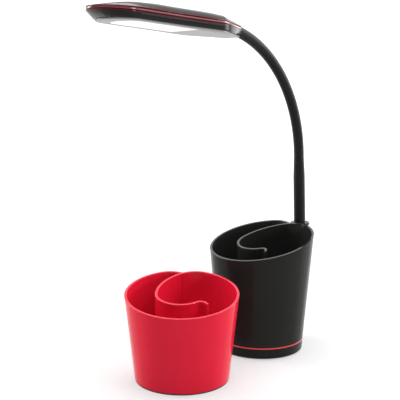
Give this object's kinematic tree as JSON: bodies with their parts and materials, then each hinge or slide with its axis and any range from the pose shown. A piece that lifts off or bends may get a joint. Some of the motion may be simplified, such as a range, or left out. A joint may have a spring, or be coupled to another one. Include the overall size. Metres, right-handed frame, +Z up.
{
  "type": "desk lamp with spiral pen cups",
  "caption": "Gooseneck desk lamp on a glossy spiral-walled pen cup, with a flat boat-shaped light head and a second, lower loose spiral cup in red.",
  "frame": {"origin": "on the desk, under the middle of the lamp cup", "axes": "+Z up, +Y towards the neck at the back of the cup; the light head points towards -Y"},
  "size_m": [0.1044, 0.2746, 0.3187],
  "materials": {
    "black_gloss": "high gloss moulded",
    "pad_rubber": "matt",
    "tray_black": "satin moulded",
    "steel": "plated",
    "red_line": "gloss",
    "board_green": "solder resist",
    "jack_black": "moulded",
    "pin_brass": "plated",
    "parts_dark": "moulded",
    "collar_dark": "gloss",
    "sleeve_black": "smooth silicone",
    "red_strip": "gloss",
    "frame_grey": "fine satin",
    "diffuser_white": "opal diffuser",
    "reflector_white": "satin",
    "board_aluminium": "white coated",
    "chip_yellow": "phosphor",
    "clamp_black": "moulded",
    "sensor_copper": "foil",
    "red_gloss": "high gloss moulded",
    "foot_black": "matt"
  },
  "bodies": {
    "base": {"lamp_cup": "black_gloss", "base_pad": "pad_rubber", "base_tray": "tray_black", "base_screws": "steel", "accent_ring": "red_line", "ballast_disc": "steel", "driver_board": "board_green", "power_jack": "jack_black", "jack_pin": "pin_brass", "board_components": "parts_dark", "board_screws": "steel", "neck_bush": "steel", "neck_collar": "collar_dark", "neck_stem": "sleeve_black", "stem_tube": "steel", "neck_set_screw": "steel"},
    "neck_1": {"neck_sleeve_1": "sleeve_black", "neck_core_1": "steel"},
    "neck_2": {"neck_sleeve_2": "sleeve_black", "neck_core_2": "steel"},
    "neck_3": {"neck_sleeve_3": "sleeve_black", "neck_core_3": "steel"},
    "neck_4": {"neck_sleeve_4": "sleeve_black", "neck_core_4": "steel"},
    "neck_5": {"neck_sleeve_5": "sleeve_black", "neck_core_5": "steel"},
    "neck_6": {"neck_sleeve_6": "sleeve_black", "neck_core_6": "steel"},
    "neck_7": {"neck_sleeve_7": "sleeve_black", "neck_core_7": "steel"},
    "head": {"neck_sleeve_8": "sleeve_black", "neck_core_8": "steel", "neck_ferrule": "collar_dark", "neck_clamp": "clamp_black", "head_top_shell": "black_gloss", "head_lower_shell": "black_gloss", "head_trim_strip": "red_strip", "head_bottom_frame": "frame_grey", "diffuser": "diffuser_white", "reflector_frame": "reflector_white", "lamp_board": "board_aluminium", "lamp_chips": "chip_yellow", "touch_sensor": "sensor_copper"},
    "loose_cup": {"red_cup": "red_gloss", "red_cup_foot": "foot_black"}
  },
  "joints": [
    {"name": "bend_1", "type": "hinge", "parent": "base", "child": "neck_1", "pos_m": [0, 0.05786, 0.18541], "axis": [1, 0, 0], "range_deg": [-22, 12]},
    {"name": "bend_2", "type": "hinge", "parent": "neck_1", "child": "neck_2", "pos_m": [0, 0.0552, 0.20578], "axis": [0, 0.9779, 0.2092], "range_deg": [-20, 20]},
    {"name": "bend_3", "type": "hinge", "parent": "neck_2", "child": "neck_3", "pos_m": [0, 0.04929, 0.22545], "axis": [1, 0, 0], "range_deg": [-22, 12]},
    {"name": "bend_4", "type": "hinge", "parent": "neck_3", "child": "neck_4", "pos_m": [0, 0.0403, 0.24391], "axis": [0, 0.8605, 0.5094], "range_deg": [-20, 20]},
    {"name": "bend_5", "type": "hinge", "parent": "neck_4", "child": "neck_5", "pos_m": [0, 0.02844, 0.26067], "axis": [1, 0, 0], "range_deg": [-22, 12]},
    {"name": "bend_6", "type": "hinge", "parent": "neck_5", "child": "neck_6", "pos_m": [0, 0.01404, 0.27531], "axis": [0, 0.6538, 0.7567], "range_deg": [-20, 20]},
    {"name": "bend_7", "type": "hinge", "parent": "neck_6", "child": "neck_7", "pos_m": [0, -0.00254, 0.28744], "axis": [1, 0, 0], "range_deg": [-22, 12]},
    {"name": "bend_8", "type": "hinge", "parent": "neck_7", "child": "head", "pos_m": [0, -0.02085, 0.29673], "axis": [0, 0.3791, 0.9254], "range_deg": [-20, 20]},
    {"name": "loose_cup_move", "type": "slide", "parent": "base", "child": "loose_cup", "axis": [0, -1, 0], "range_m": [0, 0.1]}
  ]
}
